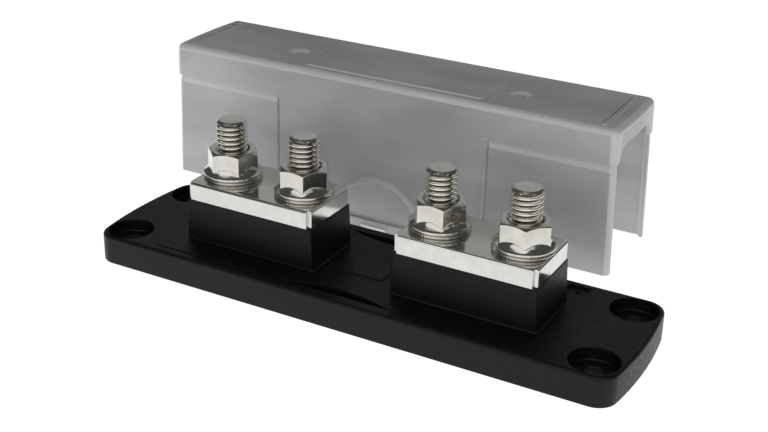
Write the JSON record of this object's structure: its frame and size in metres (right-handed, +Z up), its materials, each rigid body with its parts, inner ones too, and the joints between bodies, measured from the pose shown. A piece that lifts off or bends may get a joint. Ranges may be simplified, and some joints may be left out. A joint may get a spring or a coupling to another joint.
{
  "type": "fuse block with insulating cover",
  "caption": "Long moulded base with raised insulating blocks, metal cap plates on threaded studs with flange nuts, and a separate box-shaped translucent cover with open ends.",
  "frame": {"origin": "centre of the base's underside", "axes": "+X along the block from the left pair of studs to the right pair, +Y towards the cover's standing place, +Z up along the studs"},
  "size_m": [0.1938, 0.1053, 0.0528],
  "materials": {
    "base_plastic": "fine moulded texture",
    "tinned_copper": "bright tin plate",
    "stainless_stud": "rolled thread",
    "stainless_nut": "polished",
    "stainless_washer": "polished",
    "potting_resin": "cast",
    "cover_plastic": "smoky translucent, frosted inside"
  },
  "bodies": {
    "block": {"base": "base_plastic", "cap_plate_left": "tinned_copper", "cap_plate_right": "tinned_copper", "stud_left_outer": "stainless_stud", "stud_left_inner": "stainless_stud", "stud_right_inner": "stainless_stud", "stud_right_outer": "stainless_stud", "potting_left_outer": "potting_resin", "potting_left_inner": "potting_resin", "potting_right_inner": "potting_resin", "potting_right_outer": "potting_resin"},
    "washer_left_outer": {"washer_left_outer": "stainless_washer"},
    "nut_left_outer": {"nut_left_outer": "stainless_nut"},
    "washer_left_inner": {"washer_left_inner": "stainless_washer"},
    "nut_left_inner": {"nut_left_inner": "stainless_nut"},
    "washer_right_inner": {"washer_right_inner": "stainless_washer"},
    "nut_right_inner": {"nut_right_inner": "stainless_nut"},
    "washer_right_outer": {"washer_right_outer": "stainless_washer"},
    "nut_right_outer": {"nut_right_outer": "stainless_nut"},
    "cover": {"cover": "cover_plastic"}
  },
  "joints": [
    {"name": "nut_travel_left_outer", "type": "slide", "parent": "block", "child": "washer_left_outer", "axis": [0, 0, 1], "range_m": [0, 0.01588]},
    {"name": "nut_spin_left_outer", "type": "hinge", "parent": "washer_left_outer", "child": "nut_left_outer", "pos_m": [-0.05003, 0, 0.03], "axis": [0, 0, 1], "range_deg": [0, 3600]},
    {"name": "nut_travel_left_inner", "type": "slide", "parent": "block", "child": "washer_left_inner", "axis": [0, 0, 1], "range_m": [0, 0.01588]},
    {"name": "nut_spin_left_inner", "type": "hinge", "parent": "washer_left_inner", "child": "nut_left_inner", "pos_m": [-0.02337, 0, 0.03], "axis": [0, 0, 1], "range_deg": [0, 3600]},
    {"name": "nut_travel_right_inner", "type": "slide", "parent": "block", "child": "washer_right_inner", "axis": [0, 0, 1], "range_m": [0, 0.01588]},
    {"name": "nut_spin_right_inner", "type": "hinge", "parent": "washer_right_inner", "child": "nut_right_inner", "pos_m": [0.02337, 0, 0.03], "axis": [0, 0, 1], "range_deg": [0, 3600]},
    {"name": "nut_travel_right_outer", "type": "slide", "parent": "block", "child": "washer_right_outer", "axis": [0, 0, 1], "range_m": [0, 0.01588]},
    {"name": "nut_spin_right_outer", "type": "hinge", "parent": "washer_right_outer", "child": "nut_right_outer", "pos_m": [0.05003, 0, 0.03], "axis": [0, 0, 1], "range_deg": [0, 3600]},
    {"name": "cover_place", "type": "slide", "parent": "block", "child": "cover", "axis": [0.1721, -0.4865, 0.8566], "range_m": [0, 0.12375]}
  ],
  "couplings": [
    {"joint": "nut_travel_left_outer", "follows": "nut_spin_left_outer", "m_per_rad": 0.00025266},
    {"joint": "nut_travel_left_inner", "follows": "nut_spin_left_inner", "m_per_rad": 0.00025266},
    {"joint": "nut_travel_right_inner", "follows": "nut_spin_right_inner", "m_per_rad": 0.00025266},
    {"joint": "nut_travel_right_outer", "follows": "nut_spin_right_outer", "m_per_rad": 0.00025266}
  ]
}
